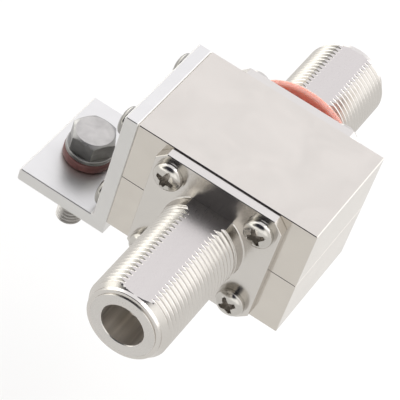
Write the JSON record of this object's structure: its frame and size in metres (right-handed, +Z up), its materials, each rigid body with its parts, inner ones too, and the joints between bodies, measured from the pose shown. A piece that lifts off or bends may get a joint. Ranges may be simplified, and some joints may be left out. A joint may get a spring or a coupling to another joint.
{
  "type": "coax lightning arrestor",
  "caption": "In-line coax surge arrestor: split block housing between two flanged threaded jacks, side grounding bracket with hex ground bolt and a red panel gasket.",
  "frame": {"origin": "on the connector axis, in the plane where the rear gasket meets the panel", "axes": "+Y along the connector axis towards the rear jack's mouth, +Z up from the housing's seam, +X to the side away from the grounding bracket"},
  "size_m": [0.0547, 0.081, 0.0428],
  "materials": {
    "satin_plating": "satin warm white nickel plating",
    "bright_plating": "bright nickel plating",
    "white_insulator": "white fluoropolymer",
    "contact_plating": "bright plated contact metal",
    "conductor_brass": "plain machined brass",
    "tube_ceramic": "glazed white ceramic",
    "tube_electrode": "nickel iron",
    "spring_steel": "spring steel",
    "red_silicone": "matte red orange silicone",
    "screw_plating": "polished stainless steel",
    "bracket_aluminium": "fine matte aluminium",
    "bolt_steel": "zinc plated steel",
    "maroon_washer": "dark red rubber"
  },
  "bodies": {
    "root": {"body_upper": "satin_plating", "body_lower": "satin_plating", "front_jack": "bright_plating", "rear_jack": "bright_plating", "front_insulator": "white_insulator", "rear_insulator": "white_insulator", "front_contact": "contact_plating", "rear_contact": "contact_plating", "through_conductor": "conductor_brass", "gas_tube_ceramic": "tube_ceramic", "gas_tube_electrodes": "tube_electrode", "tube_spring": "spring_steel", "panel_gasket": "red_silicone", "front_flange_screws": "screw_plating", "front_lock_washers": "screw_plating", "rear_flange_screws": "screw_plating", "rear_lock_washers": "screw_plating", "ground_bracket": "bracket_aluminium", "bracket_screws": "screw_plating", "ground_bolt": "bolt_steel", "bolt_flat_washer": "bolt_steel", "bolt_seal_washer": "maroon_washer", "nut_lock_washer": "bolt_steel", "ground_nut": "bolt_steel"}
  },
  "joints": []
}
